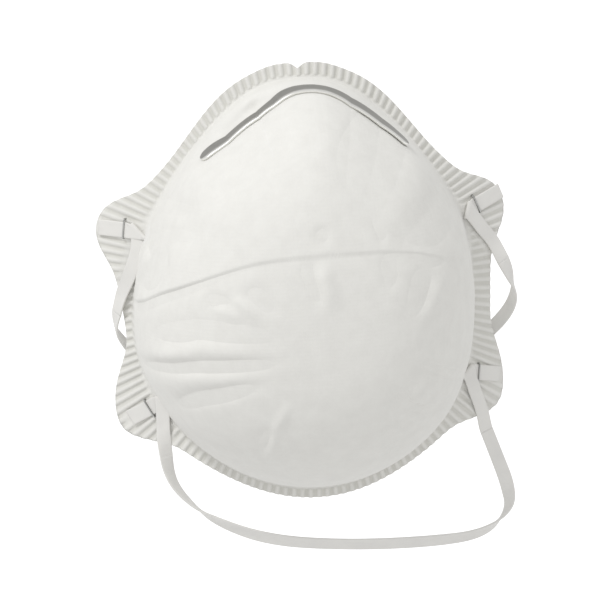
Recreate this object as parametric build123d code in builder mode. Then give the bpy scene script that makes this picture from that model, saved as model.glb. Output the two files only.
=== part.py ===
"""Disposable dust mask: moulded cup in four layers, nose clip, foam, staples and two straps.

Millimetres. +Z is up as the mask is worn, -Y is the front and +Y points at the wearer. The origin
is the middle of the face opening, level with the back of the flange at the nose and the chin.
"""

import os
from math import asin, copysign, cos, degrees, pi, radians, sin, sqrt, tan

from build123d import *

os.makedirs("parts", exist_ok=True)

# Face flange: a sheet bent about a vertical axis, so its tabs lie further back than its middle
FLANGE_BEND = 137.0
FLANGE_TOP = 70.9
NOTCH_HALF_WIDTH = 2.6
NOTCH_DEPTH = 1.7
FLANGE_HALF = [
    (7.4, 70.6), (14.5, 68.3), (21.1, 64.8), (31.7, 54.9), (40.0, 44.5), (48.5, 35.2),
    (54.5, 31.0), (62.4, 27.6), (67.2, 21.5), (67.2, 14.3), (63.8, 6.7), (62.1, -1.0),
    (61.5, -13.0), (61.8, -22.0), (64.6, -33.0), (65.2, -41.0), (62.4, -48.6), (56.4, -51.2),
    (47.8, -53.1), (41.3, -56.8), (28.7, -64.5), (14.9, -70.1),
]
FLANGE_BOTTOM = -72.2
FLANGE_DEEPEST = 25.0

# Cup: its outline where it leaves the flange, and how far it has shrunk at each depth
CUP_DEPTH = 50.0
CUP_TOP = 66.3
CUP_HALF = [
    (13.0, 63.8), (22.5, 57.5), (31.5, 48.5), (39.5, 38.5), (45.5, 29.0), (50.0, 19.0),
    (53.0, 9.0), (54.5, -2.0), (54.5, -14.0), (53.0, -25.0), (49.5, -36.0), (44.5, -45.5),
    (37.0, -54.0), (27.5, -61.0), (15.0, -66.5),
]
CUP_BOTTOM = -68.7
CUP_RADIUS = 58.0
TIP_SCALE = 0.05
CUP_PROFILE = [
    (-20.0, 1.035), (-9.0, 1.02), (0.0, 1.0), (9.0, 0.97), (17.0, 0.93), (25.0, 0.87),
    (32.0, 0.795), (38.0, 0.705), (43.0, 0.59), (46.8, 0.45), (49.0, 0.29), (50.0, 0.1),
]

# Layers, front to back
COVER = 0.3
FILTER = 0.4
SHELL = 1.0
LINING = 0.3
TOTAL = COVER + FILTER + SHELL + LINING

# Nose clip and nose foam, both following the upper wall above STRIP_LOWEST
STRIP_LOWEST = 5.0
CLIP_DEPTH = 10.5
CLIP_WIDTH = 5.0
CLIP_THICKNESS = 0.9
CLIP_HALF_SPAN = 32.5
FOAM_DEPTH = 5.0
FOAM_WIDTH = 12.0
FOAM_THICKNESS = 3.5
FOAM_HALF_SPAN = 40.0

# Staples and straps
WIRE = 0.55
CROWN = 7.0
CLINCH = 2.4
BAND_WIDTH = 5.2
LEG_WIDTH = 4.7
BAND_THICKNESS = 0.8
BAND_GAP = 0.05
CORD_RADIUS = sqrt(LEG_WIDTH * BAND_THICKNESS / pi)
ARC_SHARE = 0.45

# Tabs: staple (x, z), tilt of the band on the tab, and the strap's fold and exit (x, z)
TABS = {
    "upper_left": {"staple": (-58.2, 19.4), "tilt": -6, "cut": 8.2, "exit": (-59.8, -4.5)},
    "upper_right": {"staple": (57.3, 20.2), "tilt": 22, "cut": 9.6, "exit": (61.2, 4.8)},
    "lower_left": {"staple": (-53.8, -40.6), "tilt": 29, "cut": 7.4, "exit": (-49.5, -54.0)},
    "lower_right": {"staple": (55.8, -36.8), "tilt": -14, "cut": 8.0, "exit": (57.4, -54.0)},
}
FOLD_REACH = 4.6

# Free loops of the straps, as they hang
UPPER_ROUTE = [
    (-64.8, 13.5, -9.0), (-64.4, 16.2, -15.5), (-58.5, 19.5, -25.5), (-45.0, 22.5, -36.0),
    (-24.0, 25.0, -44.5), (1.0, 26.0, -47.5), (27.0, 25.0, -43.5), (46.5, 22.5, -35.5),
    (59.5, 20.0, -27.0), (68.8, 17.5, -18.5), (69.6, 15.0, -8.5), (65.8, 13.0, 0.2),
]
LOWER_ROUTE = [
    (-49.5, 6.6, -56.4), (-49.0, 6.6, -62.5), (-42.0, 6.8, -72.5), (-26.5, 7.3, -84.0),
    (5.0, 8.2, -92.0), (37.0, 9.2, -94.5), (57.5, 9.7, -91.0), (66.0, 9.9, -80.0),
    (62.6, 9.9, -67.5), (57.8, 9.8, -56.4),
]


def mirrored(top, half, bottom):
    """Closed ring of points from the right-hand half of a symmetric outline."""
    left = [(-x, z) for x, z in reversed(half)]
    return [(0, top)] + half + [(0, bottom)] + left


def flange_height(x):
    """How far back the flange's back face is at x."""
    return FLANGE_BEND - sqrt(FLANGE_BEND**2 - x**2)


def tab_plane(x, z, tilt=0.0):
    """Plane on the flange's back face at (x, z), facing forwards, its x axis tilted up."""
    lean = x / FLANGE_BEND
    level = sqrt(1 - lean**2)
    along = cos(radians(tilt))
    x_dir = (level * along, lean * along, sin(radians(tilt)))
    return Plane(origin=(x, flange_height(x), z), x_dir=x_dir, z_dir=(lean, -level, 0))


def cup_mass(inset):
    """Cup and everything behind the flange sheet, set in from the front face by inset."""
    with BuildPart() as mass:
        for depth, scale in CUP_PROFILE:
            forward = max(depth, 0) / CUP_DEPTH
            steep = sqrt(1 - forward**4)
            station = depth - inset * forward**2
            ratio = max(scale - inset * steep / CUP_RADIUS, TIP_SCALE)
            with BuildSketch(Plane.XZ.offset(station)):
                with BuildLine():
                    ring = mirrored(CUP_TOP, CUP_HALF, CUP_BOTTOM)
                    Spline([(x * ratio, z * ratio) for x, z in ring], periodic=True)
                make_face()
        loft()
        with BuildSketch(Plane.XY.offset(2 * FLANGE_BOTTOM)):
            with Locations((0, FLANGE_BEND)):
                Circle(FLANGE_BEND + TOTAL - inset)
        extrude(amount=4 * FLANGE_TOP)
    return mass.part


def flange_prism():
    """Everything inside the flange's outline, straight front to back."""
    with BuildPart() as prism:
        with BuildSketch(Plane.XZ.offset(2 * CUP_DEPTH)):
            with BuildLine():
                ring = mirrored(FLANGE_TOP, FLANGE_HALF, FLANGE_BOTTOM)[1:]
                right = (NOTCH_HALF_WIDTH, FLANGE_TOP)
                left = (-NOTCH_HALF_WIDTH, FLANGE_TOP)
                Spline([right] + ring + [left])
                Polyline([left, (0, FLANGE_TOP - NOTCH_DEPTH), right])
            make_face()
        extrude(amount=-2 * CUP_DEPTH - FLANGE_DEEPEST)
    return prism.part


def wall_strip(front, back, near, width, half_span):
    """Strip between two insets of the upper wall, width wide, starting near behind the front."""
    with BuildPart() as strip:
        add(cup_mass(front))
        add(cup_mass(back), mode=Mode.SUBTRACT)
        with BuildSketch(Plane.XZ.offset(near)):
            with Locations((0, CUP_TOP)):
                Rectangle(2 * half_span, 2 * (CUP_TOP - STRIP_LOWEST))
        extrude(amount=width, mode=Mode.INTERSECT)
    return strip.part


def staple_solid(tab):
    """Staple through a tab: crown in front, two legs and their clinched ends behind."""
    x, z = tab["staple"]
    face = tab_plane(x, z, tab["tilt"])
    top = TOTAL + BAND_GAP + BAND_THICKNESS
    with BuildPart() as staple:
        with BuildSketch(face.offset(top)):
            Rectangle(WIRE, CROWN)
        extrude(amount=WIRE)
        with BuildSketch(face.offset(-WIRE)):
            with GridLocations(WIRE, CROWN - WIRE, 1, 2):
                Rectangle(WIRE, WIRE)
        extrude(amount=top + WIRE + WIRE / 2)
        with BuildSketch(face.offset(-WIRE)):
            with GridLocations(WIRE, CROWN - CLINCH, 1, 2):
                Rectangle(WIRE, CLINCH)
        extrude(amount=WIRE)
    return staple.part


def strap_end_solid(tab, side):
    """Flat end of a strap: from its cut end under the staple to the fold, and on to the edge."""
    x, z = tab["staple"]
    face = tab_plane(x, z, tab["tilt"]).offset(TOTAL + BAND_GAP)
    fold = face.from_local_coords((-side * (FOLD_REACH - BAND_WIDTH / 2), 0, 0))
    exit_x, exit_z = tab["exit"]
    run = sqrt((exit_x - fold.X) ** 2 + (exit_z - fold.Z) ** 2)
    heading = degrees(asin((exit_x - fold.X) / run))
    leg_plane = tab_plane((fold.X + exit_x) / 2, (fold.Z + exit_z) / 2, heading).offset(TOTAL + BAND_GAP)
    with BuildPart() as end:
        with BuildSketch(face):
            with Locations((side * (tab["cut"] - FOLD_REACH) / 2, 0)):
                Rectangle(tab["cut"] + FOLD_REACH, BAND_WIDTH)
        extrude(amount=BAND_THICKNESS)
        with BuildSketch(leg_plane):
            Rectangle(LEG_WIDTH, run)
        extrude(amount=BAND_THICKNESS)
    return end.part


def loop_radii(route):
    """Arc radius at each corner of a strap's route, from its shorter run and its turn."""
    points = [Vector(*point) for point in route]
    runs = [after - before for before, after in zip(points, points[1:])]
    radii = []
    for before, after in zip(runs, runs[1:]):
        turn = before.get_angle(after)
        radii.append(ARC_SHARE * min(before.length, after.length) / tan(radians(turn / 2)))
    return radii


def strap_loop_solid(name, route):
    """Plain tube along a strap's free loop, with the same section area as the flat band."""
    radii = loop_radii(route)
    with BuildPart() as loop:
        with BuildLine() as path:
            FilletPolyline(*route, radius=radii)
        with BuildSketch(Plane(origin=path.line @ 0, z_dir=path.line % 0)):
            Circle(CORD_RADIUS)
        sweep()
    length = sum(edge.length for edge in path.edges())
    section = pi * CORD_RADIUS**2
    print(name, "length", round(length, 1), "radii", [round(radius, 1) for radius in radii])
    print(name, "volume", round(loop.part.volume, 1), "section x length", round(section * length, 1))
    return loop.part


def save(solid, name):
    """Label one piece and write its file."""
    solid.label = name
    export_step(solid, f"parts/{name}.step")


# Staples and strap ends, one of each on every tab
staples = {}
for tab_name, tab in TABS.items():
    staples[tab_name] = staple_solid(tab)
    save(staples[tab_name], f"staple_{tab_name}")
    with BuildPart() as strap_end:
        add(strap_end_solid(tab, copysign(1, tab["staple"][0])))
        add(staples[tab_name], mode=Mode.SUBTRACT)
    save(strap_end.part, f"strap_end_{tab_name}")

# Four moulded layers, each the cup at one inset less the cup at the next
outline = flange_prism()
inset = 0.0
for layer_name, thickness in [
    ("outer_cover", COVER),
    ("filter_layer", FILTER),
    ("support_shell", SHELL),
    ("inner_lining", LINING),
]:
    with BuildPart() as layer:
        add(cup_mass(inset))
        add(outline, mode=Mode.INTERSECT)
        add(cup_mass(inset + thickness), mode=Mode.SUBTRACT)
        for staple in staples.values():
            add(staple, mode=Mode.SUBTRACT)
    save(layer.part, layer_name)
    inset += thickness

# Nose clip outside the upper wall, nose foam inside it
with BuildPart() as nose_clip:
    add(wall_strip(-CLIP_THICKNESS, 0, CLIP_DEPTH, CLIP_WIDTH, CLIP_HALF_SPAN))
save(nose_clip.part, "nose_clip")

with BuildPart() as nose_foam:
    add(wall_strip(TOTAL, TOTAL + FOAM_THICKNESS, FOAM_DEPTH, FOAM_WIDTH, FOAM_HALF_SPAN))
save(nose_foam.part, "nose_foam")

# Free loops of the two straps
save(strap_loop_solid("strap_loop_upper", UPPER_ROUTE), "strap_loop_upper")
save(strap_loop_solid("strap_loop_lower", LOWER_ROUTE), "strap_loop_lower")
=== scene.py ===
"""Looks of the disposable dust mask: crimped non-woven webs, metal clip, staples, foam and straps.

Metres throughout. +Z is up as worn, -Y is the front of the cup and +Y points at the wearer.
"""

from math import cos, pi, radians, sin

import bpy
import numpy as np
from mathutils import Matrix, Vector


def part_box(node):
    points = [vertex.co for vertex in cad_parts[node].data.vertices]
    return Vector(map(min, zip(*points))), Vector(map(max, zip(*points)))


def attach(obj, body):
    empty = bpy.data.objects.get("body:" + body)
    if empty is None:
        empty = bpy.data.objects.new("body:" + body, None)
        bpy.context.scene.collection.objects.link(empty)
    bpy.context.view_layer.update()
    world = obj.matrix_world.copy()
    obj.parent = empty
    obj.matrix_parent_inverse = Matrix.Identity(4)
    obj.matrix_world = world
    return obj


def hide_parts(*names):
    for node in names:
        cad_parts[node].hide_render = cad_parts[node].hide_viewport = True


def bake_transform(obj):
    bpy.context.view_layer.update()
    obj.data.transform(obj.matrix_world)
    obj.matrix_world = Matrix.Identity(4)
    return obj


MM = 0.001

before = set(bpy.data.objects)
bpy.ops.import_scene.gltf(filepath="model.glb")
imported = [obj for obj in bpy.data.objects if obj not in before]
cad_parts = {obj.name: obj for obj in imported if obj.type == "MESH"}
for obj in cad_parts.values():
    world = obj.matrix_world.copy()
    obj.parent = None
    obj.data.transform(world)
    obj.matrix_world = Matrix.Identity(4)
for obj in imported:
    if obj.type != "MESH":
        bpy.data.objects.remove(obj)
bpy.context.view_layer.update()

# ---------------------------------------------------------------- shared sizes

# Radius at which the flange bends back, seen from above
FLANGE_BEND = 137.0 * MM
# Outlines seen from the front as in the part: right-hand half from top to bottom, in millimetres
FLANGE_TOP = 70.9
FLANGE_BOTTOM = -72.2
FLANGE_HALF = [
    (7.4, 70.6), (14.5, 68.3), (21.1, 64.8), (31.7, 54.9), (40.0, 44.5), (48.5, 35.2),
    (54.5, 31.0), (62.4, 27.6), (67.2, 21.5), (67.2, 14.3), (63.8, 6.7), (62.1, -1.0),
    (61.5, -13.0), (61.8, -22.0), (64.6, -33.0), (65.2, -41.0), (62.4, -48.6), (56.4, -51.2),
    (47.8, -53.1), (41.3, -56.8), (28.7, -64.5), (14.9, -70.1),
]
CUP_TOP = 66.3
CUP_BOTTOM = -68.7
CUP_HALF = [
    (13.0, 63.8), (22.5, 57.5), (31.5, 48.5), (39.5, 38.5), (45.5, 29.0), (50.0, 19.0),
    (53.0, 9.0), (54.5, -2.0), (54.5, -14.0), (53.0, -25.0), (49.5, -36.0), (44.5, -45.5),
    (37.0, -54.0), (27.5, -61.0), (15.0, -66.5),
]
# Mean radius of the cup, which spaces the rows of its grid
CUP_RADIUS = 58.0 * MM
# Depth of the cup's wall in millimetres, and how far out the wall is there as a share of its base
CUP_PROFILE = [
    (-20.0, 1.035), (-9.0, 1.02), (0.0, 1.0), (9.0, 0.97), (17.0, 0.93), (25.0, 0.87),
    (32.0, 0.795), (38.0, 0.705), (43.0, 0.59), (46.8, 0.45), (49.0, 0.29), (50.0, 0.1),
]
LAYERS = [
    ("outer_cover", 0.3 * MM), ("filter_layer", 0.4 * MM),
    ("support_shell", 1.0 * MM), ("inner_lining", 0.3 * MM),
]
TOTAL = sum(thickness for _, thickness in LAYERS)
# Depth of the pressed flange's front face in the middle
FLANGE_FRONT = TOTAL * 0.72
BAND_WIDTH = 5.2 * MM
BAND_THICKNESS = 0.7 * MM

# Free loops of the straps, close to the part's routes, in millimetres
UPPER_ROUTE = [
    (-62.7, 12.7, -8.5), (-64.2, 14.8, -13.5), (-61.5, 17.8, -19.5), (-55.0, 20.5, -27.5),
    (-45.0, 22.5, -36.0), (-24.0, 25.0, -44.5), (1.0, 26.0, -47.5), (27.0, 25.0, -43.5),
    (46.5, 22.5, -35.5), (60.5, 20.0, -26.0), (68.0, 18.3, -18.5), (70.6, 16.5, -12.0),
    (69.4, 14.8, -6.0), (66.3, 13.0, 0.4),
]
LOWER_ROUTE = [
    (-49.6, 6.6, -56.4), (-49.3, 6.6, -62.0), (-45.5, 6.8, -70.0), (-36.0, 7.1, -79.5),
    (-17.0, 7.7, -88.4), (10.0, 8.4, -92.2), (37.0, 9.2, -93.4), (56.0, 9.7, -92.3),
    (64.9, 9.9, -84.3), (64.6, 9.9, -76.0), (61.4, 9.9, -66.0), (58.0, 9.8, -56.4),
]

# Where each strap is stapled, in millimetres and degrees. The staple, the fold, the places the leg
# passes and its exit from the flange are (x, z); heights are those of the leg above the flange. tilt
# is the band's on the tab and skew is the staple's from square to it. cut is how far the cut end
# reaches past the staple, and over says that the leg lies over the end, not under it.
TABS = {
    "upper_left": {
        "staple": (-58.2, 19.4), "fold": (-53.6, 18.5), "exit": (-61.2, -4.2),
        "tilt": -6, "skew": -3, "cut": 8.2, "over": False,
        "leg": [(-54.2, 12.4), (-57.0, 4.4), (-60.6, -3.2)], "heights": (1.2, 1.5, 1.0),
    },
    "upper_right": {
        "staple": (57.3, 20.2), "fold": (54.2, 18.6), "exit": (62.0, 6.0),
        "tilt": 22, "skew": 3, "cut": 9.6, "over": True,
        "leg": [(58.4, 12.7), (62.8, 6.8)], "heights": (1.0, 0.9),
    },
    "lower_left": {
        "staple": (-53.8, -40.6), "fold": (-49.2, -37.9), "exit": (-49.5, -53.0),
        "tilt": 29, "skew": 2, "cut": 7.4, "over": True,
        "leg": [(-49.4, -44.0), (-49.6, -50.5)], "heights": (1.2, 1.0),
    },
    "lower_right": {
        "staple": (55.8, -36.6), "fold": (51.9, -35.4), "exit": (57.2, -53.0),
        "tilt": -14, "skew": 6, "cut": 8.0, "over": True,
        "leg": [(53.8, -41.8), (56.4, -50.0)], "heights": (1.2, 1.0),
    },
}

# ---------------------------------------------------------------- camera and light

CAMERA_AZIMUTH = -4.5
CAMERA_ELEVATION = 10.0
CAMERA_ROLL = 3.0
CAMERA_DISTANCE = 0.70
VIEW_WIDTH = 0.198
SHIFT = (-0.0057, -0.0393)
KEY_PLACE = (-0.56, -0.52, 0.88)
KEY_SIZE = 0.2
KEY_POWER = 4.7
SURROUNDINGS = 0.82


def make_camera():
    """Camera a little left of and above the mask, rolled slightly, with the origin near the middle."""
    data = bpy.data.cameras.new("camera")
    camera = bpy.data.objects.new("camera", data)
    bpy.context.scene.collection.objects.link(camera)
    azimuth = radians(CAMERA_AZIMUTH)
    elevation = radians(CAMERA_ELEVATION)
    back = Vector((sin(azimuth) * cos(elevation), -cos(azimuth) * cos(elevation), sin(elevation)))
    turn = back.to_track_quat("Z", "Y").to_matrix()
    turn = turn @ Matrix.Rotation(radians(-CAMERA_ROLL), 3, "Z")
    camera.matrix_world = Matrix.Translation(back * CAMERA_DISTANCE) @ turn.to_4x4()
    data.lens = data.sensor_width * CAMERA_DISTANCE / VIEW_WIDTH
    data.shift_x, data.shift_y = SHIFT
    data.clip_end = 100
    bpy.context.scene.camera = camera


def area_light(name, place, target, size, power):
    """Soft square lamp at place, facing target."""
    data = bpy.data.lights.new(name, "AREA")
    data.size = size
    data.energy = power
    lamp = bpy.data.objects.new(name, data)
    lamp.location = place
    lamp.rotation_mode = "QUATERNION"
    lamp.rotation_quaternion = (Vector(target) - Vector(place)).to_track_quat("-Z", "Y")
    bpy.context.scene.collection.objects.link(lamp)


def make_lights():
    """Pale surroundings and a soft key lamp above, in front and to the left."""
    world = bpy.data.worlds.new("studio")
    world.use_nodes = True
    background = world.node_tree.nodes["Background"]
    background.inputs["Color"].default_value = (1.0, 1.0, 1.0, 1)
    background.inputs["Strength"].default_value = SURROUNDINGS
    bpy.context.scene.world = world
    bpy.context.scene.view_settings.view_transform = "Standard"
    area_light("key", KEY_PLACE, (0, 0, 0), KEY_SIZE, KEY_POWER)


# ---------------------------------------------------------------- curves and grids


def mirrored(top, half, bottom):
    """Closed ring of points from the right-hand half of a symmetric outline."""
    left = [(-x, z) for x, z in reversed(half)]
    return np.array([(0, top)] + half + [(0, bottom)] + left) * MM


def periodic_spline(knots, values, period):
    """Smooth closed curve through values at knots, as a function of the angle."""
    n = len(knots)
    gaps = np.diff(np.append(knots, knots[0] + period))
    system = np.zeros((n, n))
    right = np.zeros(n)
    for i in range(n):
        before, after = gaps[i - 1], gaps[i]
        following = (i + 1) % n
        system[i, i - 1] = before
        system[i, i] = 2 * (before + after)
        system[i, following] = after
        rise_after = (values[following] - values[i]) / after
        rise_before = (values[i] - values[i - 1]) / before
        right[i] = 6 * (rise_after - rise_before)
    bend = np.linalg.solve(system, right)

    def curve(angle):
        angle = (np.asarray(angle) - knots[0]) % period + knots[0]
        index = np.clip(np.searchsorted(knots, angle, side="right") - 1, 0, n - 1)
        following = (index + 1) % n
        gap = gaps[index]
        b = (angle - knots[index]) / gap
        a = 1 - b
        bow = ((a**3 - a) * bend[index] + (b**3 - b) * bend[following]) * gap**2 / 6
        return a * values[index] + b * values[following] + bow

    return curve


def radius_curve(ring):
    """Distance from the middle to a ring as a smooth function of the angle from straight up."""
    angle = np.arctan2(ring[:, 0], ring[:, 1]) % (2 * pi)
    order = np.argsort(angle)
    return periodic_spline(angle[order], np.hypot(ring[:, 0], ring[:, 1])[order], 2 * pi)


SIDES_FROM = 30 * MM


def nudged(ring, height, reach, left, right):
    """The ring with its left and right sides moved sideways around a height."""
    weight = np.exp(-(((ring[:, 1] - height * MM) / (reach * MM)) ** 2))
    weight = weight * (np.abs(ring[:, 0]) > SIDES_FROM)
    shift = np.where(ring[:, 0] < 0, left, right) * MM * weight
    return np.stack([ring[:, 0] + shift, ring[:, 1]], axis=-1)


# The worn-in mask is a little uneven: its left wall bulges and the flange there is drawn in
cup_radius = radius_curve(nudged(mirrored(CUP_TOP, CUP_HALF, CUP_BOTTOM), -18, 18, -2.2, -0.6))
flange_radius = radius_curve(nudged(mirrored(FLANGE_TOP, FLANGE_HALF, FLANGE_BOTTOM), -15, 13, 1.3, 0))


def smooth_lookup(pairs, level_start=False):
    """Smooth one-to-one curve through pairs of numbers, both rising."""
    x = np.array([a for a, _ in pairs], float)
    y = np.array([b for _, b in pairs], float)
    slope = np.gradient(y, x)
    slope[0] = 0 if level_start else slope[0]

    def curve(at):
        at = np.clip(at, x[0], x[-1])
        i = np.clip(np.searchsorted(x, at, side="right") - 1, 0, len(x) - 2)
        gap = x[i + 1] - x[i]
        t = (at - x[i]) / gap
        rise = (2 * t**3 - 3 * t**2 + 1) * y[i] + (t**3 - 2 * t**2 + t) * gap * slope[i]
        return rise + (3 * t**2 - 2 * t**3) * y[i + 1] + (t**3 - t**2) * gap * slope[i + 1]

    return curve


# Depth of the cup against how far out its wall is, from the middle of the nose to behind the flange
DOME = [(0.0, 50.35), (0.1, 50.15)]
DOME += [(scale, depth) for depth, scale in reversed(CUP_PROFILE[:-1])]
dome_depth = smooth_lookup([(scale, depth * MM) for scale, depth in DOME], level_start=True)


def distance_along(line):
    """How far along a line each of its points is."""
    return np.concatenate([[0], np.cumsum(np.linalg.norm(np.diff(line, axis=0), axis=1))])


def flange_back(x):
    """How far back the back of the flange is at x."""
    return FLANGE_BEND - np.sqrt(FLANGE_BEND**2 - x**2)


def smooth_step(value, low, high):
    """0 below low, 1 above high, easing between them."""
    t = np.clip((value - low) / (high - low), 0, 1)
    return t * t * (3 - 2 * t)


# Lower front edge of the nose clip, seen from the front: two straight arms and a round bridge
CLIP_LINE = np.array([
    (-50.0, 28.6), (-41.0, 35.4), (-32.4, 41.8), (-23.6, 47.9), (-13.8, 54.8), (-8.9, 58.2), (-5.6, 60.2),
    (-2.4, 61.5), (0.8, 62.1), (3.9, 62.1), (7.0, 61.4), (10.1, 59.9), (14.7, 56.8), (23.8, 50.0),
    (32.1, 43.4), (41.0, 36.6), (50.0, 29.4),
]) * MM
CLIP_FRONT = 15.5 * MM


def scale_at(depth):
    """How far out the wall is at a depth, before the nose is pinched."""
    low, high = 0.1, 1.0
    for _ in range(40):
        middle = (low + high) / 2
        low, high = (middle, high) if dome_depth(middle) > depth else (low, middle)
    return low


clip_angle = np.arctan2(CLIP_LINE[:, 0], CLIP_LINE[:, 1])
clip_share = np.hypot(CLIP_LINE[:, 0], CLIP_LINE[:, 1])
clip_share = clip_share / (cup_radius(clip_angle) * scale_at(CLIP_FRONT))
PINCH_FADES = radians(36), radians(56)


def share_out(x, z):
    """How far out (x, z) is on the cup: 0 at its nose, 1 at its base, with the clip's arms straight."""
    angle = np.arctan2(x, z)
    out = np.hypot(x, z) / cup_radius(angle)
    pinch = 1 - np.interp(angle, clip_angle, clip_share)
    pinch = pinch * (1 - smooth_step(np.abs(angle), *PINCH_FADES))
    return out / (1 - pinch * smooth_step(1.0 - out, 0, 0.1) * smooth_step(out, 0.15, 0.75))


WALL_END = CUP_PROFILE[0][1]
WALL_BEYOND = 0.4
ROOT_SOFTNESS = 0.9 * MM


def front_surface(x, z):
    """Depth in front of the origin of the mask's smooth front face at (x, z)."""
    out = share_out(x, z)
    cup = dome_depth(np.minimum(out, WALL_END)) - np.maximum(out - WALL_END, 0) * WALL_BEYOND
    flange = FLANGE_FRONT - flange_back(x)
    gap = cup - flange
    return flange + 0.5 * (gap + np.sqrt(gap**2 + ROOT_SOFTNESS**2))


# ---------------------------------------------------------------- relief of the webs

CRIMPS = 150
CRIMP_DEPTH = 0.34 * MM
CRIMP_CRISPNESS = 2.6
RIDGE_SHARE = 0.08


def crimp_wave(phase):
    """Pressed pleats round the flange: 1 on a ridge and -1 in a pressed bar."""
    wave = np.cos(phase * 2 * pi) + RIDGE_SHARE
    return np.tanh(CRIMP_CRISPNESS * wave) / np.tanh(CRIMP_CRISPNESS)


def crimp_weight(share, x, z):
    """Where the pleats show: from just outside the cup to the cut edge, flattened under the straps."""
    return smooth_step(share, 0.12, 0.24) * (1 - 0.8 * strapped(x, z))


def strapped(x, z):
    """1 under the straps' stapled ends, easing to 0 beside them."""
    cover = np.zeros_like(x)
    for tab in TABS.values():
        staple, fold = np.array(tab["staple"]) * MM, np.array(tab["fold"]) * MM
        tilt = radians(tab["tilt"])
        cut = staple + np.sign(staple[0]) * np.array([cos(tilt), sin(tilt)]) * tab["cut"] * MM
        for start, end in [(cut, fold), (fold, np.array(tab["exit"]) * MM)]:
            off, _ = line_distance(x, z, np.array([start, end]))
            cover = np.maximum(cover, 1 - smooth_step(off, 1.9 * MM, 3.4 * MM))
    return cover


def line_distance(x, z, line):
    """Distance from each (x, z) to a line, and how far along the line the nearest point is."""
    lengths = np.hypot(*np.diff(line, axis=0).T)
    total = lengths.sum()
    nearest = np.full(x.shape, 1.0)
    share = np.zeros(x.shape)
    before = 0.0
    for start, end, length in zip(line, line[1:], lengths):
        way = end - start
        t = np.clip(((x - start[0]) * way[0] + (z - start[1]) * way[1]) / length**2, 0, 1)
        off = np.hypot(x - start[0] - t * way[0], z - start[1] - t * way[1])
        closer = off < nearest
        share = np.where(closer, (before + t * length) / total, share)
        nearest = np.where(closer, off, nearest)
        before += length
    return nearest, share


# Fold line of the cover, and how proud its upper half stands, in millimetres
CREASE = [
    (-60.0, -6.8, 0.6), (-55.0, -2.4, 1.0), (-48.5, 2.9, 1.15), (-42.3, 6.2, 1.1), (-33.8, 9.9, 0.8),
    (-21.1, 14.1, 0.55), (-6.1, 15.9, 0.5), (9.1, 16.1, 0.45), (24.9, 15.0, 0.35), (32.0, 13.4, 0.45),
    (38.3, 10.9, 0.4), (46.2, 8.3, 0.3), (52.0, 5.0, 0.2), (60.0, 0.0, 0.0),
]
crease_place = smooth_lookup([(x * MM, z * MM) for x, z, _ in CREASE])
crease_lip = smooth_lookup([(x * MM, lip * MM) for x, _, lip in CREASE])


def crease_relief(x, z):
    """Step of the folded web: the upper half lies over the lower one."""
    above = z - crease_place(x)
    edge = smooth_step(above, -0.35 * MM, 0.35 * MM)
    lip = 0.6 * edge * np.exp(-np.maximum(above, 0) / (6 * MM))
    groove = -0.55 * np.exp(-((above / (1.0 * MM)) ** 2)) * smooth_step(-above, 0, 0.3 * MM)
    hollow = np.exp(-(((above + 1.5 * MM) / (2.2 * MM)) ** 2))
    shade = -0.4 * hollow * smooth_step(-above, 0, 1.0 * MM)
    return (lip + groove + shade) * crease_lip(x)


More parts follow.
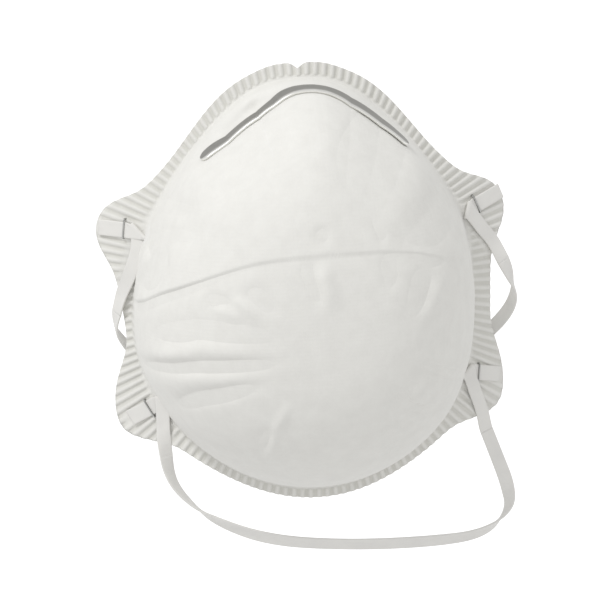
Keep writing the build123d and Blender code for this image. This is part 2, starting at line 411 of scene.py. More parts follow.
# Dents and ridges of the cover: a line of (x, z), half width and height, all in millimetres
STROKES = [
    ([(-55.4, -12.0), (-37.3, -7.6), (-16.5, -8.7), (-5.8, -7.7)], 3.0, -0.5),
    ([(-59.2, -19.6), (-37.5, -11.4), (-10.6, -12.1)], 2.2, 0.6),
    ([(-57.8, -23.9), (-49.9, -20.2), (-40.8, -18.2), (-28.8, -17.2), (-13.8, -16.4), (-7.7, -15.7)],
     1.5, -0.8),
    ([(-56.5, -29.6), (-38.0, -21.7), (-11.0, -20.4)], 2.6, 0.3),
    ([(-46.9, -34.1), (-38.3, -28.4), (-26.2, -24.7), (-14.6, -21.8)], 1.7, -0.65),
    ([(-50.8, 19.6), (-48.4, 16.9), (-48.4, 12.2), (-51.3, 5.8), (-55.1, -1.4)], 1.5, -1.1),
    ([(-50.6, 15.5), (-53.2, 8.7), (-56.9, -0.8)], 0.9, 0.5),
    ([(-35.7, 4.3), (-29.2, 2.5), (-25.0, -0.5)], 1.6, -0.3),
    ([(-32.8, 2.3), (-28.5, 0.1), (-23.3, -3.3)], 1.3, 0.3),
    ([(-27.6, 5.0), (-23.4, 1.6), (-18.6, -3.7)], 1.2, 0.3),
    ([(-23.3, 7.4), (-18.2, 3.7), (-13.7, -2.6)], 1.8, -0.35),
    ([(-0.7, 14.4), (1.0, 7.3), (4.4, -3.1)], 2.0, 0.6),
    ([(-4.9, 14.6), (-1.8, 6.6), (1.4, -2.2)], 1.6, -0.5),
    ([(0.0, 25.1), (1.5, 20.8), (2.5, 17.8)], 1.8, -0.3),
    ([(18.0, 27.5), (19.3, 21.5), (19.8, 16.2)], 0.9, -0.35),
    ([(20.0, 15.3), (21.5, 8.5), (20.1, 1.0)], 1.6, -0.3),
    ([(33.2, 10.7), (30.1, -0.3), (26.0, -9.7)], 2.4, -0.4),
    ([(40.2, 7.3), (34.4, -2.7), (29.3, -10.2)], 1.8, 0.3),
    ([(34.0, 11.4), (37.5, 10.1), (40.5, 10.0)], 1.0, -0.2),
    ([(28.4, -21.4), (36.7, -24.7), (53.2, -35.7)], 0.7, -0.5),
    ([(22.0, -27.3), (25.7, -33.2), (32.9, -38.1), (42.5, -38.2)], 1.2, -0.7),
    ([(25.7, -27.9), (31.5, -32.4), (38.8, -31.5)], 3.4, 0.5),
    ([(20.7, -30.5), (26.0, -41.1), (30.6, -49.7)], 1.3, -0.35),
    ([(18.2, -38.6), (19.5, -45.8), (21.3, -53.4)], 1.3, -0.35),
    ([(-10.6, -27.6), (-15.8, -38.5), (-19.8, -57.8)], 1.2, 0.3),
    ([(-15.1, -36.4), (-18.2, -42.2), (-21.2, -50.7)], 2.0, -0.3),
    ([(-18.0, 51.1), (-11.9, 49.6), (-5.8, 47.5)], 1.8, -0.3),
    ([(-21.2, 44.4), (-14.8, 45.4), (-7.9, 44.4)], 1.8, -0.2),
    ([(-51.2, 27.1), (-40.5, 29.0), (-30.1, 30.7)], 1.8, -0.22),
    ([(-50.3, 18.8), (-41.2, 21.3), (-29.3, 23.2)], 2.0, -0.22),
    ([(12.3, 54.6), (23.3, 39.9), (35.7, 23.9), (44.9, 11.3)], 6.0, -1.5),
    ([(18.3, 44.8), (24.1, 31.5), (33.1, 16.3)], 1.4, -0.7),
    ([(21.2, 44.9), (28.3, 31.7), (36.0, 16.6)], 1.2, 0.5),
    ([(27.7, 41.0), (35.5, 30.3), (41.5, 16.4)], 1.4, -0.7),
    ([(33.3, 40.3), (41.0, 30.4), (46.6, 20.6)], 1.3, -0.6),
    ([(30.9, 39.8), (37.9, 29.7), (43.8, 19.1)], 1.0, 0.45),
    ([(38.2, 39.9), (45.5, 33.4), (50.5, 26.9)], 1.3, -0.25),
    ([(54.6, 19.5), (53.6, 13.0), (53.0, 7.0), (55.5, 1.0), (57.8, -6.0), (58.2, -13.0)], 1.1, -1.3),
]
# How much deeper and wider than written the strokes are made
STROKE_GAIN = 2.3
STROKE_SPREAD = 1.45


def stroke_relief(x, z):
    """Soft dents and ridges where the moulded web was handled, each fading at its ends."""
    relief = np.zeros_like(x)
    for line, width, height in STROKES:
        line = np.array(line) * MM
        spread = STROKE_SPREAD * width * MM
        margin = 4 * width * MM
        low, high = line.min(axis=0) - margin, line.max(axis=0) + margin
        near = (x > low[0]) & (x < high[0]) & (z > low[1]) & (z < high[1])
        off, share = line_distance(x[near], z[near], line)
        fade = smooth_step(share, -0.02, 0.3) * (1 - smooth_step(share, 0.45, 1.0))
        relief[near] += STROKE_GAIN * height * MM * fade * np.exp(-((off / spread) ** 2))
    return relief


def softened(relief, passes):
    """Relief averaged with its neighbours on the grid, so that no line of it looks cut."""
    for _ in range(passes):
        relief = (np.roll(relief, 1, axis=1) + 2 * relief + np.roll(relief, -1, axis=1)) / 4
        relief[1:-1] = (relief[:-2] + 2 * relief[1:-1] + relief[2:]) / 4
    return relief


RIPPLES = 14
# Height of a ripple as a share of its length: it comes to less than a thousandth of a millimetre
RIPPLE_RISE = 2.2e-6


def ripple_relief(x, z):
    """Waviness of the web too slight to see, a sum of a few seeded long waves."""
    rng = np.random.default_rng(7)
    relief = np.zeros_like(x)
    for _ in range(RIPPLES):
        direction = rng.uniform(0, 2 * pi)
        length = rng.uniform(9, 30) * MM
        phase = rng.uniform(0, 2 * pi)
        relief += np.sin((x * cos(direction) + z * sin(direction)) * 2 * pi / length + phase) * length
    return relief * RIPPLE_RISE


# ---------------------------------------------------------------- layer meshes


def link_mesh(name, points, faces):
    """New smooth mesh object from arrays of points and faces."""
    mesh = bpy.data.meshes.new(name)
    mesh.from_pydata([tuple(point) for point in points], [], [tuple(face) for face in faces])
    mesh.validate()
    mesh.update()
    piece = bpy.data.objects.new(name, mesh)
    bpy.context.scene.collection.objects.link(piece)
    mesh.polygons.foreach_set("use_smooth", [True] * len(mesh.polygons))
    return piece


def grid_faces(rows, columns, start=0, flip=False):
    """Quads between rows of points, each row closed on itself."""
    i = np.arange(rows - 1)[:, None]
    j = np.arange(columns)[None, :]
    following = (j + 1) % columns
    a = start + i * columns + j
    b = start + i * columns + following
    c = start + (i + 1) * columns + following
    d = start + (i + 1) * columns + j
    quads = np.stack([a, b, c, d] if not flip else [a, d, c, b], axis=-1)
    return quads.reshape(-1, 4)


def fan_angles(columns):
    """Angles that are evenly spaced along the middle of the flange."""
    dense = np.linspace(0, 2 * pi, 4001)
    radius = (cup_radius(dense) + flange_radius(dense)) / 2
    run = distance_along(np.stack([radius * np.sin(dense), radius * np.cos(dense)], axis=-1))
    share = np.arange(columns) / columns
    return np.interp(share * run[-1], run, dense), share


# Small notch in the top of the flange
NOTCH_DEPTH = 1.7 * MM
NOTCH_HALF_WIDTH = 2.6 * MM


def web_grid(columns, cup_rows, flange_rows):
    """Places (x, z) of the grid, and each point's crimp phase and share across the flange."""
    angle, share = fan_angles(columns)
    dense = np.linspace(0.02, 1.0, 2000)
    run = distance_along(np.stack([dome_depth(dense), dense * CUP_RADIUS], axis=-1))
    scales = np.interp(np.linspace(0, run[-1], cup_rows), run, dense)
    inner = cup_radius(angle)
    outer = flange_radius(angle)
    from_top = np.abs((angle + pi) % (2 * pi) - pi) * FLANGE_TOP * MM
    outer = outer - NOTCH_DEPTH * np.clip(1 - from_top / NOTCH_HALF_WIDTH, 0, 1)
    radius = [scale * inner for scale in scales]
    across = [np.zeros(columns)] * cup_rows
    for step in range(1, flange_rows + 1):
        t = step / flange_rows
        radius.append(inner + (outer - inner) * t)
        across.append(np.full(columns, t))
    radius = np.array(radius)
    x = radius * np.sin(angle)
    z = radius * np.cos(angle)
    return x, z, np.array(across), np.broadcast_to(share * CRIMPS, x.shape)


def surface_points(x, z, relief, crimps):
    """Front face points moved by relief along their normals and by crimps forwards, and the normals."""
    points = np.stack([x, -front_surface(x, z), z], axis=-1)
    down = np.gradient(points, axis=0)
    padded = np.concatenate([points[:, -1:], points, points[:, :1]], axis=1)
    around = np.gradient(padded, axis=1)[:, 1:-1]
    normal = np.cross(down, around)
    normal /= np.maximum(np.linalg.norm(normal, axis=-1, keepdims=True), 1e-12)
    normal *= np.where(normal[..., 1:2] > 0, -1, 1)
    points = points + normal * relief[..., None]
    points[..., 1] -= crimps
    return points, normal


# Share of the thickness that is pressed out of the flange, and share of its layer that a web fills
FLANGE_PRESS = 0.45
LAYER_FILL = 0.97
# Columns round the mask, rows up the cup and rows across the flange
FINE_GRID = 900, 150, 18
PLAIN_GRID = 450, 60, 10


def make_web(name, grid, inset, thickness):
    """One moulded web: front and back faces joined at the cut edge of the flange."""
    columns, cup_rows, flange_rows = grid
    x, z, across, phase = web_grid(columns, cup_rows, flange_rows)
    wave = crimp_wave(phase)
    weight = crimp_weight(across, x, z)
    crimps = CRIMP_DEPTH * wave * weight
    cup_share = 1 - smooth_step(across, 0, 0.3)
    ripples = ripple_relief(x, z) * cup_share
    relief = ripples
    if name == "outer_cover":
        folds = softened(crease_relief(x, z), 1) + softened(stroke_relief(x, z), 4)
        relief = ripples + folds * (1 - smooth_step(across, 0, 0.15))
    front, normal = surface_points(x, z, relief, crimps)
    smooth_front, _ = surface_points(x, z, ripples, crimps)
    pressed = 1 - FLANGE_PRESS * smooth_step(across, 0.0, 0.5)
    if name != "outer_cover":
        front = smooth_front - normal * (inset * pressed)[..., None]
    back = smooth_front - normal * ((inset + thickness * LAYER_FILL) * pressed)[..., None]
    rows = cup_rows + flange_rows
    count = rows * columns
    tips = [front[0].mean(axis=0), back[0].mean(axis=0)]
    points = np.concatenate([front.reshape(-1, 3), back.reshape(-1, 3), np.array(tips)])
    faces = grid_faces(rows, columns, 0).tolist()
    faces += grid_faces(rows, columns, count, flip=True).tolist()
    last = (rows - 1) * columns
    for j in range(columns):
        k = (j + 1) % columns
        faces.append((2 * count, k, j))
        faces.append((2 * count + 1, count + j, count + k))
        faces.append((last + j, last + k, count + last + k, count + last + j))
    piece = link_mesh(name + "_web", points, faces)
    # Where the pressed bars lie. The material darkens them, partly as the welded web's own tone and partly
    # as painted shade in the pressed valleys
    bar_tone_and_shade = (smooth_step(-wave, -0.6, 0.9) * weight).reshape(-1)
    mark_points(piece, "pressed", np.concatenate([bar_tone_and_shade, bar_tone_and_shade, [0, 0]]))
    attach(piece, "mask")
    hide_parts(name)
    return piece


def mark_points(piece, name, values):
    """A number for each point of a piece, which its material reads."""
    layer = piece.data.attributes.new(name, "FLOAT", "POINT")
    layer.data.foreach_set("value", np.asarray(values, dtype=np.float32))


# ---------------------------------------------------------------- straps


def route_line(name, route):
    """Smooth line of a strap's route, read from its NURBS spline."""
    data = bpy.data.curves.new(name, "CURVE")
    data.dimensions = "3D"
    data.resolution_u = 16
    spline = data.splines.new("NURBS")
    spline.points.add(len(route) - 1)
    for point, place in zip(spline.points, route):
        point.co = (*[value * MM for value in place], 1)
    spline.order_u = 3
    spline.use_endpoint_u = True
    holder = bpy.data.objects.new(name, data)
    mesh = bpy.data.meshes.new_from_object(holder)
    line = np.array([vertex.co for vertex in mesh.vertices])
    bpy.data.objects.remove(holder)
    bpy.data.meshes.remove(mesh)
    bpy.data.curves.remove(data)
    return line


def even_line(line, step):
    """The same line at even steps."""
    run = distance_along(line)
    count = max(int(run[-1] / step), 2)
    at = np.linspace(0, run[-1], count + 1)
    return np.stack([np.interp(at, run, line[:, axis]) for axis in range(3)], axis=-1), run[-1]


def band_section(width, thickness, rounding=0.8, crown=0.0):
    """Flat section with rounded corners, across and through; crown swells its faces."""
    corner = thickness / 2 * rounding
    corners = []
    for side_x, side_y, start in [(1, 1, 0), (-1, 1, 90), (-1, -1, 180), (1, -1, 270)]:
        for step in range(4):
            angle = radians(start + step * 30)
            across = side_x * (width / 2 - corner) + corner * cos(angle)
            corners.append((across, side_y * (thickness / 2 - corner) + corner * sin(angle)))
    section = []
    for k, (across, through) in enumerate(corners):
        section.append((across, through))
        following = corners[(k + 1) % len(corners)][0]
        if abs(following - across) > width / 2:
            section += [(across + (following - across) * t, through) for t in np.linspace(0.1, 0.9, 9)]
    section = np.array(section)
    section[:, 1] *= 1 + crown * (1 - (2 * section[:, 0] / width) ** 2)
    return section


def ribbon_mesh(name, points):
    """Closed band from rows of section points, with flat ends."""
    rows, columns = points.shape[:2]
    faces = grid_faces(rows, columns).tolist()
    faces.append(tuple(reversed(range(columns))))
    faces.append(tuple(range((rows - 1) * columns, rows * columns)))
    piece = link_mesh(name, points.reshape(-1, 3), faces)
    for face in list(piece.data.polygons)[-2:]:
        face.use_smooth = False
    return piece


def unit(vectors):
    """Vectors at length one."""
    return vectors / np.maximum(np.linalg.norm(vectors, axis=-1, keepdims=True), 1e-12)


def band_points(line, facing, section, widths=None, bow=None):
    """Rows of a flat band along a line, facing the given way, its edges bent back by bow."""
    tangent = unit(np.gradient(line, axis=0))
    face = unit(facing - (facing * tangent).sum(axis=1, keepdims=True) * tangent)
    across = np.cross(tangent, face)
    widths = np.ones(len(line)) if widths is None else widths
    bow = np.zeros(len(line)) if bow is None else bow
    sideways = across[:, None, :] * (section[None, :, 0:1] * widths[:, None, None])
    through = section[None, :, 1] - bow[:, None] * (2 * section[None, :, 0] / BAND_WIDTH) ** 2
    return line[:, None, :] + sideways + face[:, None, :] * through[..., None]


BAND = band_section(BAND_WIDTH, BAND_THICKNESS)


def facing_along(line, keys):
    """Directions of the band's face, blended between (share of length, direction) keys."""
    share = distance_along(line) / distance_along(line)[-1]
    curves = [smooth_lookup([(at, way[axis]) for at, way in keys]) for axis in range(3)]
    return np.stack([curve(share) for curve in curves], axis=-1)


# Which way each loop's face looks, at shares of its length from its left end
UPPER_FACING = [
    (0.0, (-0.75, -0.6, 0.05)), (0.03, (-0.97, -0.2, 0)), (0.06, (-0.95, 0.15, -0.1)),
    (0.12, (-0.7, 0.5, -0.4)), (0.3, (-0.2, 0.6, -0.7)), (0.5, (0, 0.7, -0.7)),
    (0.7, (0.3, 0.7, -0.6)), (0.82, (0.45, 0.85, -0.3)), (0.87, (0.6, 0.78, -0.2)),
    (0.917, (0.9, 0.42, -0.1)), (0.94, (1, 0.02, 0)), (0.957, (0.88, -0.45, 0.1)),
    (0.978, (0.6, -0.78, 0.1)), (1.0, (0.3, -0.95, 0.1)),
]
LOWER_FACING = [
    (0.0, (0.35, -0.88, 0.3)), (0.04, (0.58, -0.62, 0.48)), (0.08, (0.68, -0.35, 0.65)),
    (0.125, (0.7, -0.02, 0.7)), (0.17, (0.5, 0.55, 0.65)), (0.26, (0.1, 0.85, 0.5)),
    (0.45, (0, 0.87, 0.45)), (0.68, (-0.05, 0.87, 0.45)), (0.77, (-0.5, 0.65, 0.6)),
    (0.81, (-0.82, 0.0, 0.55)), (0.85, (-0.6, -0.75, 0.35)), (0.9, (0, -0.97, 0.1)),
    (1.0, (0.3, -0.95, 0)),
]
LEG_WIDTH = 4.7 * MM
LEG_BOW = 0.22 * MM


def make_loop(name, route, facing):
    """Free loop of one strap, bending away from the tabs where it leaves them."""
    line, length = even_line(route_line(name + "_line", route), 0.7 * MM)
    run = distance_along(line)
    bow = LEG_BOW * smooth_step(np.minimum(run, length - run), 0, 12 * MM)
    widths = np.full(len(line), LEG_WIDTH / BAND_WIDTH)
    points = band_points(line, facing_along(line, facing), BAND, widths, bow)
    piece = ribbon_mesh(name + "_band", points)
    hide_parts(name)
    top = max(route[0][2], route[-1][2]) * MM
    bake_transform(piece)
    return piece, points


# ---------------------------------------------------------------- strap ends and staples

# Height of the stapled end's middle above the flange, and of one side of the fold above the other
REST_HEIGHT = 0.5 * MM
STACK = 0.78 * MM
# How far the strap climbs the foot of the cup's wall
CLIMB = 0.7 * MM


def tab_frame(x, z):
    """Front face of the flange, climbing the wall a little, and its outward direction at (x, z)."""
    lean = x / FLANGE_BEND
    highest = FLANGE_FRONT - flange_back(x) + CLIMB
    place = np.stack([x, -np.minimum(front_surface(x, z), highest), z], axis=-1)
    return place, np.stack([lean, -np.sqrt(1 - lean**2), 0 * x], axis=-1)


def on_tab(flat, height):
    """Points of the tab under flat (x, z) positions, raised by height."""
    place, outward = tab_frame(flat[..., 0], flat[..., 1])
    return place + outward * np.asarray(height)[..., None]


def through_points(places, count):
    """Smooth line through places at even steps."""
    places = np.array(places)
    run = distance_along(places)
    at = np.linspace(0, run[-1], count)
    curves = [smooth_lookup(list(zip(run, places[:, axis]))) for axis in range(3)]
    return np.stack([curve(at) for curve in curves], axis=-1)


def fold_ways(tab):
    """Staple, fold and leg places of a tab in metres, and directions at its fold.

    inward runs along the end to the fold, square across the end, mitre along the fold, scaled so that
    the band's width reaches its ends, and out away from the fold's inside.
    """
    staple, fold = np.array(tab["staple"]) * MM, np.array(tab["fold"]) * MM
    tilt = radians(tab["tilt"])
    inward = -np.sign(staple[0]) * np.array([cos(tilt), sin(tilt)])
    square = np.array([-inward[1], inward[0]])
    via = [np.array(point) * MM for point in tab["leg"]]
    leg = unit(via[0] - fold)
    crease = unit(inward + leg)
    crease = crease * np.sign(crease.dot(square))
    mitre = crease / abs(crease.dot(square))
    return staple, fold, via, inward, square, mitre, unit(inward - leg)


# Width at the fold as a share of the band's
FOLD_SHARE = 0.9
# Places across the band, the same in every row
ACROSS_BAND = BAND[:, 0]


def end_rows(tab, low, easing):
    """Rows of the stapled end, from its cut to the fold."""
    staple, fold, _, inward, square, mitre, _ = fold_ways(tab)
    run = (staple - fold).dot(-inward) + tab["cut"] * MM
    from_fold = np.linspace(-run, 0, 44)
    ease = smooth_step(from_fold, -easing, 0)[:, None]
    sideways = square + (mitre - square) * ease
    narrow = 1 - (1 - FOLD_SHARE) * smooth_step(from_fold, -1.6 * MM, 0)
    centre = fold + inward * from_fold[:, None]
    reach = (ACROSS_BAND[None, :] * narrow[:, None])[..., None]
    flat = centre[:, None, :] + sideways[:, None, :] * reach
    heights = REST_HEIGHT + (low - REST_HEIGHT) * smooth_step(from_fold, -6 * MM, -0.5 * MM)
    return on_tab(flat, heights[:, None] + BAND[None, :, 1])


def turn_rows(tab, low, high):
    """Rows round the fold, from the end's height to the leg's."""
    _, fold, _, _, _, mitre, out = fold_ways(tab)
    rows = []
    for angle in np.linspace(0, pi, 11)[1:-1]:
        lift = low + (high - low) / 2 * (1 - cos(angle))
        bulge = STACK / 2 * sin(angle)
        lean = -sin(angle) if tab["over"] else sin(angle)
        flat = fold + mitre * ACROSS_BAND[:, None] * FOLD_SHARE
        flat = flat + out * (bulge + lean * BAND[:, 1])[:, None]
        rows.append(on_tab(flat, lift + cos(angle) * BAND[:, 1]))
    return np.array(rows)


def leg_rows(tab, high, easing, loop_rows):
    """Rows of the leg over the flange, from the fold to where the loop starts."""
    _, fold, via, _, _, mitre, _ = fold_ways(tab)
    start = on_tab(fold, high)
    marks = [on_tab(point, height * MM) for point, height in zip(via, tab["heights"])]
    end_place, beyond = loop_rows[0].mean(axis=0), loop_rows[4].mean(axis=0)
    line = through_points([start] + marks + [end_place, beyond], 400)
    line = line[: int(np.argmin(np.linalg.norm(line - end_place, axis=1))) + 1]
    line = np.concatenate([line[:-1:5], [end_place]])
    tangent = unit(np.gradient(line, axis=0))
    tangent[-1] = unit(loop_rows[1].mean(axis=0) - end_place)
    done = distance_along(line)
    _, outward = tab_frame(line[:, 0], line[:, 2])
    sides = [loop_rows[0][ACROSS_BAND * sign > 0].mean(axis=0) for sign in (1, -1)]
    last_face = unit(np.cross(sides[0] - sides[1], tangent[-1]))
    last_face = last_face * np.sign(last_face.dot(outward[-1]))
    share = smooth_step(done / done[-1], 0.45, 1.0)[:, None]
    face = outward * (1 - share) + last_face * share
    face = unit(face - (face * tangent).sum(axis=1, keepdims=True) * tangent)
    across = np.cross(tangent, face)
    fold_way = (on_tab(fold + mitre * MM, high) - start) / MM
    across = across * np.sign(across[0].dot(fold_way))
    ease = 1 - smooth_step(done, 0, easing)[:, None]
    across = across + (fold_way - across) * ease
    leg_share = LEG_WIDTH / BAND_WIDTH
    narrow = leg_share + (FOLD_SHARE - leg_share) * ease[:, 0]
    sideways = across[:, None, :] * (ACROSS_BAND[None, :] * narrow[:, None])[..., None]
    return line[:, None, :] + sideways - face[:, None, :] * BAND[None, :, 1:2]


def make_strap_end(name, tab, loop_rows):
    """Stapled end of a strap: cut end, fold and the leg that runs off the flange into the loop."""
    _, _, _, inward, _, mitre, _ = fold_ways(tab)
    easing = 0.75 * BAND_WIDTH * abs(mitre.dot(inward)) + 0.6 * MM
    low, high = REST_HEIGHT, REST_HEIGHT + STACK
    if not tab["over"]:
        low, high = high, low
    end = end_rows(tab, low, easing)
    leg = leg_rows(tab, high, easing, loop_rows)
    piece = ribbon_mesh(name + "_band", np.concatenate([end, turn_rows(tab, low, high), leg]))
    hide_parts(name)
    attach(piece, "mask")
    return piece


def tube_mesh(name, line, radius):
    """Round wire along a line."""
    tangent = unit(np.gradient(line, axis=0))
    side = unit(np.cross(tangent[0], [0.31, 0.2, 0.93]))
    rows = []
    for point, ahead in zip(line, tangent):
        side = unit(side - ahead * side.dot(ahead))
        other = np.cross(ahead, side)
        turns = np.linspace(0, 2 * pi, 12, endpoint=False)[:, None]
        rows.append(point + radius * (np.cos(turns) * side + np.sin(turns) * other))
    return ribbon_mesh(name, np.array(rows))


WIRE_RADIUS = 0.31 * MM
CROWN = 7.0 * MM
CLINCH = 2.4 * MM
CLINCH_HEIGHT = -1.75 * MM
WIRE_BEND = 0.5 * MM
CORNER_CUT = 0.1 * MM


def make_staple(name, tab):
    """Staple through a tab: bowed crown, rounded shoulders, and legs clinched behind the flange."""
    centre = np.array(tab["staple"]) * MM
    tilt = radians(tab["tilt"] + tab["skew"])
    along = np.array([-sin(tilt), cos(tilt)])
    over = REST_HEIGHT + BAND_THICKNESS / 2 + WIRE_RADIUS * 0.75
    behind = CLINCH_HEIGHT
    half = CROWN / 2 - WIRE_RADIUS
    side = [
        (half - CLINCH, behind - CORNER_CUT), (half - WIRE_BEND, behind),
        (half - CORNER_CUT, behind + CORNER_CUT), (half, behind + WIRE_BEND),
        (half, over - WIRE_BEND), (half - CORNER_CUT, over - 0.12 * MM),
        (half - WIRE_BEND, over), (half * 0.45, over + 0.04 * MM),
    ]
    other_side = [(-place, height) for place, height in reversed(side)]
    places, heights = np.array(side + [(0.0, over - 0.02 * MM)] + other_side).T
    knots = np.arange(len(places))
    fine = np.linspace(0, len(places) - 1, 90)
    places, heights = np.interp(fine, knots, places), np.interp(fine, knots, heights)
    kernel = np.array([1, 2, 3, 2, 1]) / 9
    ends = places[[0, -1]], heights[[0, -1]]
    places = np.convolve(np.pad(places, 2, mode="edge"), kernel, "valid")
    heights = np.convolve(np.pad(heights, 2, mode="edge"), kernel, "valid")
    places[[0, -1]], heights[[0, -1]] = ends
    middle, outward = tab_frame(*centre)
    upward = np.array([along[0] * -outward[1], along[0] * outward[0], along[1]])
    line = middle + places[:, None] * upward + heights[:, None] * outward
    piece = tube_mesh(name + "_wire", line, WIRE_RADIUS)
    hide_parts(name)
    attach(piece, "mask")
    return piece


# ---------------------------------------------------------------- nose clip and foam

WALL_LINE_ANGLE = radians(48)
WALL_SEARCH = 0.4, 1.03
CLIP_THICKNESS = 0.9 * MM
FOAM_THICKNESS = 3.5 * MM
FOAM_END = 2 * MM
FOAM_LUMPS = 900, 500, 700
FOAM_LUMP_HEIGHT = 0.08 * MM


def wall_line(depth, half_span, count, inset):
    """Line along the upper wall at a depth, with the wall's outward directions."""
    angle = np.linspace(-1, 1, count) * WALL_LINE_ANGLE
    near, far = [cup_radius(angle) * share for share in WALL_SEARCH]
    for _ in range(40):
        middle = (near + far) / 2
        inside = front_surface(middle * np.sin(angle), middle * np.cos(angle)) > depth
        near, far = np.where(inside, middle, near), np.where(inside, far, middle)
    x, z = near * np.sin(angle), near * np.cos(angle)
    step = 0.2 * MM
    slope_x = (front_surface(x + step, z) - front_surface(x - step, z)) / (2 * step)
    slope_z = (front_surface(x, z + step) - front_surface(x, z - step)) / (2 * step)
    outward = unit(np.stack([-slope_x, -np.ones(count), -slope_z], axis=-1))
    line = np.stack([x, np.full(count, -depth), z], axis=-1) - outward * inset
    keep = np.abs(x) <= half_span
    return line[keep], outward[keep]


def make_clip():
    """Bent metal strip with round ends, bedded on the upper wall."""
    low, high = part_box("nose_clip")
    width = high.y - low.y
    line, outward = wall_line(-(low.y + high.y) / 2, high.x, 900, -CLIP_THICKNESS / 2)
    run = distance_along(line)
    from_end = np.minimum(run, run[-1] - run)
    round_end = np.clip(from_end / (width / 2), 0, 1)
    widths = np.sqrt(np.maximum(1 - (1 - round_end) ** 2, 0.0009))
    section = band_section(width, CLIP_THICKNESS, 0.7)
    points = band_points(line, outward, section, widths)
    piece = ribbon_mesh("nose_clip_strip", points)
    middle = points[len(points) // 2]
    back, front = [middle[section[:, 0] * sign < 0, 1].mean() for sign in (1, -1)]
    # The lip is the strip's lower front edge, which the metal material brightens with a painted highlight
    lip = smooth_step(np.sign(back - front) * section[:, 0] / (width / 2), 0.35, 0.75)
    mark_points(piece, "lip", np.tile(lip, len(points)))
    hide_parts("nose_clip")
    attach(piece, "mask")
    return piece


def make_foam():
    """Soft lumpy foam strip inside the top edge, swollen a little between its edges."""
    low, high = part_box("nose_foam")
    width = high.y - low.y
    line, outward = wall_line(-(low.y + high.y) / 2, high.x, 500, TOTAL + FOAM_THICKNESS / 2)
    run = distance_along(line)
    from_end = np.clip(np.minimum(run, run[-1] - run) / FOAM_END, 0, 1)
    widths = 0.8 + 0.2 * np.sqrt(np.maximum(1 - (1 - from_end) ** 2, 0))
    section = band_section(width, FOAM_THICKNESS, 0.9, 0.12)
    points = band_points(line, outward, section, widths)
    x, y, z = np.moveaxis(points * FOAM_LUMPS, -1, 0)
    lumps = np.sin(x + y) * np.sin(z)
    points -= outward[:, None, :] * (lumps * FOAM_LUMP_HEIGHT)[..., None]
    piece = ribbon_mesh("nose_foam_pad", points)
    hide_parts("nose_foam")
    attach(piece, "mask")
    return piece


# ---------------------------------------------------------------- materials


class Nodes:
    """Short way to write a material's node tree."""

    def __init__(self, name):
        self.material = bpy.data.materials.new(name)
        self.material.use_nodes = True
        self.tree = self.material.node_tree
        self.shader = self.tree.nodes["Principled BSDF"]

    def add(self, kind, settings=None):
        """New node with its settings or unlinked inputs."""
        node = self.tree.nodes.new(kind)
        for key, value in (settings or {}).items():
            if hasattr(node, key):
                setattr(node, key, value)
            else:
                node.inputs[key].default_value = value
        return node

    def link(self, source, target):
        """Join an output to an input."""
        self.tree.links.new(source, target)

    def mapped(self, scale):
        """Object coordinates, scaled along each axis."""
        place = self.add("ShaderNodeTexCoord")
        mapping = self.add("ShaderNodeMapping")
        mapping.inputs["Scale"].default_value = scale
        self.link(place.outputs["Object"], mapping.inputs["Vector"])
        return mapping.outputs["Vector"]

    def noise(self, scale, detail=4, rough=0.6, stretch=(1, 1, 1)):
        """Value of a noise texture."""
        node = self.add("ShaderNodeTexNoise", {"Scale": scale, "Detail": detail, "Roughness": rough})
        self.link(self.mapped(stretch), node.inputs["Vector"])
        return node.outputs["Fac"]

    def ramp(self, source, low, high, a, b):
        """Colour from a below low to b above high."""
        node = self.add("ShaderNodeValToRGB")
        node.color_ramp.elements[0].position = low
        node.color_ramp.elements[1].position = high
        node.color_ramp.elements[0].color = (*a, 1)
        node.color_ramp.elements[1].color = (*b, 1)
        self.link(source, node.inputs["Fac"])
        return node.outputs["Color"]

    def bump(self, source, distance, strength=1.0, onto=None):
        """Normal bumped by a height, on top of another normal if one is given."""
        node = self.add("ShaderNodeBump", {"Strength": strength, "Distance": distance})
        self.link(source, node.inputs["Height"])
        if onto is not None:
            self.link(onto, node.inputs["Normal"])
        return node.outputs["Normal"]


def web_material(name, light, dark):
    """Non-woven web: tangled fibres, faint clumps and bonding dots; the pressed bars are darker, partly
    the welded web's own tone and partly painted shade in their valleys.
    """
    n = Nodes(name)
    clumps = n.noise(220, 5, 0.65)
    fibres = n.noise(2600, 6, 0.75)
    tone = n.ramp(clumps, 0.35, 0.7, dark, light)
    # Pressed bars made darker: partly the welded web's own tone, partly painted shade in the valleys
    bar_tone_and_shade = n.add("ShaderNodeAttribute", {"attribute_name": "pressed"})
    shade = n.ramp(bar_tone_and_shade.outputs["Fac"], 0.0, 1.0, (1, 1, 1), (0.9, 0.9, 0.885))
    both = n.add("ShaderNodeVectorMath", {"operation": "MULTIPLY"})
    n.link(tone, both.inputs[0])
    n.link(shade, both.inputs[1])
    n.link(both.outputs["Vector"], n.shader.inputs["Base Color"])
    n.shader.inputs["Roughness"].default_value = 0.9
    n.shader.inputs["Sheen Weight"].default_value = 0.15
    n.shader.inputs["Sheen Roughness"].default_value = 0.5
    n.shader.inputs["Specular IOR Level"].default_value = 0.2
    dots = n.add("ShaderNodeTexVoronoi", {"Scale": 820.0, "Randomness": 0.12})
    n.link(n.mapped((1, 0.2, 1)), dots.inputs["Vector"])
    first = n.bump(fibres, 0.06 * MM, 0.6)
    second = n.bump(dots.outputs["Distance"], 0.08 * MM, 0.45, onto=first)
    n.link(second, n.shader.inputs["Normal"])
    return n.material


def elastic_material():
    """Matt elastic band, very faintly mottled, with a fine even grain."""
    n = Nodes("elastic")
    tone = n.ramp(n.noise(150, 3, 0.5), 0.3, 0.75, (0.71, 0.7, 0.675), (0.76, 0.75, 0.72))
    n.link(tone, n.shader.inputs["Base Color"])
    n.shader.inputs["Roughness"].default_value = 0.55
    fine = n.noise(1800, 3, 0.6)
    n.link(n.bump(fine, 0.03 * MM, 0.4), n.shader.inputs["Normal"])
    return n.material


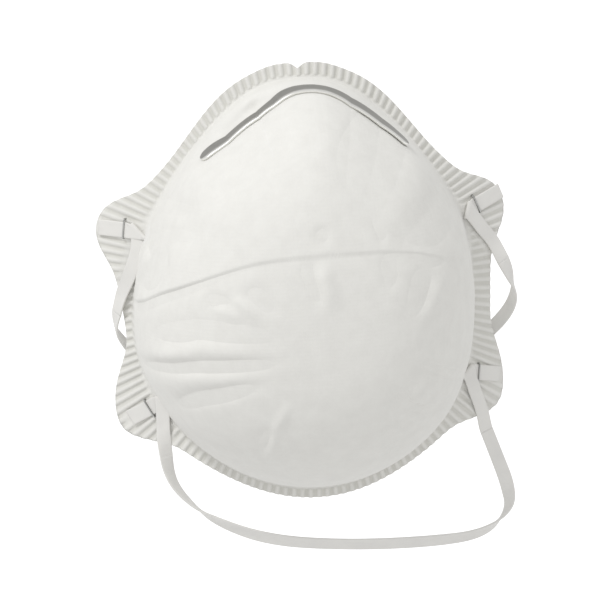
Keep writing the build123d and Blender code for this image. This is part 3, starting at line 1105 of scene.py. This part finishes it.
def metal_material(name, tone, rough, stretch):
    """Drawn or rolled metal with fine lines along its length and a painted highlight along the lip where
    one is marked.
    """
    n = Nodes(name)
    lines = n.noise(900, 4, 0.6, stretch)
    low = tuple(value * 0.86 for value in tone)
    # Painted highlight: the marked lip is made brighter
    lip_highlight = n.add("ShaderNodeAttribute", {"attribute_name": "lip"})
    bright = n.ramp(lip_highlight.outputs["Fac"], 0.0, 1.0, (0, 0, 0), (0.42, 0.42, 0.41))
    both = n.add("ShaderNodeVectorMath", {"operation": "ADD"})
    n.link(n.ramp(lines, 0.3, 0.7, low, tone), both.inputs[0])
    n.link(bright, both.inputs[1])
    n.link(both.outputs["Vector"], n.shader.inputs["Base Color"])
    n.shader.inputs["Metallic"].default_value = 1.0
    rough_range = n.add("ShaderNodeMapRange", {"To Min": rough * 0.8, "To Max": rough * 1.25})
    n.link(lines, rough_range.inputs["Value"])
    n.link(rough_range.outputs["Result"], n.shader.inputs["Roughness"])
    n.link(n.bump(lines, 0.02 * MM, 0.3), n.shader.inputs["Normal"])
    return n.material


def foam_material():
    """Open-cell foam: pits over a slightly yellow base, with painted shade darkening the pits."""
    n = Nodes("foam")
    cells = n.add("ShaderNodeTexVoronoi", {"Scale": 1600.0})
    n.link(n.mapped((1, 1, 1)), cells.inputs["Vector"])
    # Painted shade: darker towards the bottom of each pit, where the bump is lowest
    tone = n.ramp(cells.outputs["Distance"], 0.1, 0.6, (0.55, 0.53, 0.45), (0.8, 0.78, 0.68))
    n.link(tone, n.shader.inputs["Base Color"])
    n.shader.inputs["Roughness"].default_value = 0.95
    n.link(n.bump(cells.outputs["Distance"], 0.3 * MM, 0.6), n.shader.inputs["Normal"])
    return n.material


def finish_piece(piece, material):
    """Give a piece its material and material slot."""
    piece.data.materials.clear()
    piece.data.materials.append(material)
    return piece


FLOOR_REACH = 60
FLOOR_HEIGHT = -0.6
FLOOR_GLOW = 0.45


def make_floor():
    """Plain floor far below, lit like the surroundings, which throws no light onto the mask."""
    sides = [(-1, -1), (1, -1), (1, 1), (-1, 1)]
    corners = [(x * FLOOR_REACH, y * FLOOR_REACH, FLOOR_HEIGHT) for x, y in sides]
    floor = link_mesh("floor", corners, [(0, 1, 2, 3)])
    n = Nodes("floor")
    n.link(n.ramp(n.noise(3), 0, 1, (0.93, 0.93, 0.93), (0.95, 0.95, 0.95)), n.shader.inputs["Base Color"])
    n.shader.inputs["Emission Color"].default_value = (1, 1, 1, 1)
    n.shader.inputs["Emission Strength"].default_value = FLOOR_GLOW
    floor.data.materials.append(n.material)
    floor.visible_diffuse = False


# ---------------------------------------------------------------- making the object

make_camera()
make_lights()

elastic = elastic_material()
loops = {}
for strap, route, facing, fall in [
    ("lower", LOWER_ROUTE, LOWER_FACING, 7 * MM),
    ("upper", UPPER_ROUTE, UPPER_FACING, 9 * MM),
]:
    loop, loops[strap] = make_loop("strap_loop_" + strap, route, facing)
    finish_piece(loop, elastic)

wire = metal_material("staple_wire", tone=(0.4, 0.4, 0.39), rough=0.3, stretch=(1, 1, 0.2))
for tab_name, tab in TABS.items():
    strap, side = tab_name.split("_")
    rows = loops[strap] if side == "left" else loops[strap][::-1]
    finish_piece(make_strap_end("strap_end_" + tab_name, tab, rows), elastic)
    finish_piece(make_staple("staple_" + tab_name, tab), wire)

strip = metal_material("clip_metal", tone=(0.36, 0.355, 0.335), rough=0.36, stretch=(0.15, 1, 1))
finish_piece(make_clip(), strip)
finish_piece(make_foam(), foam_material())

cover_material = web_material("cover_web", light=(0.775, 0.768, 0.735), dark=(0.74, 0.732, 0.7))
plain_material = web_material("inner_web", light=(0.79, 0.783, 0.755), dark=(0.74, 0.733, 0.71))
inset = 0.0
for layer, thickness in LAYERS:
    outermost = layer == "outer_cover"
    web = make_web(layer, FINE_GRID if outermost else PLAIN_GRID, inset, thickness)
    finish_piece(web, cover_material if outermost else plain_material)
    inset += thickness

make_floor()
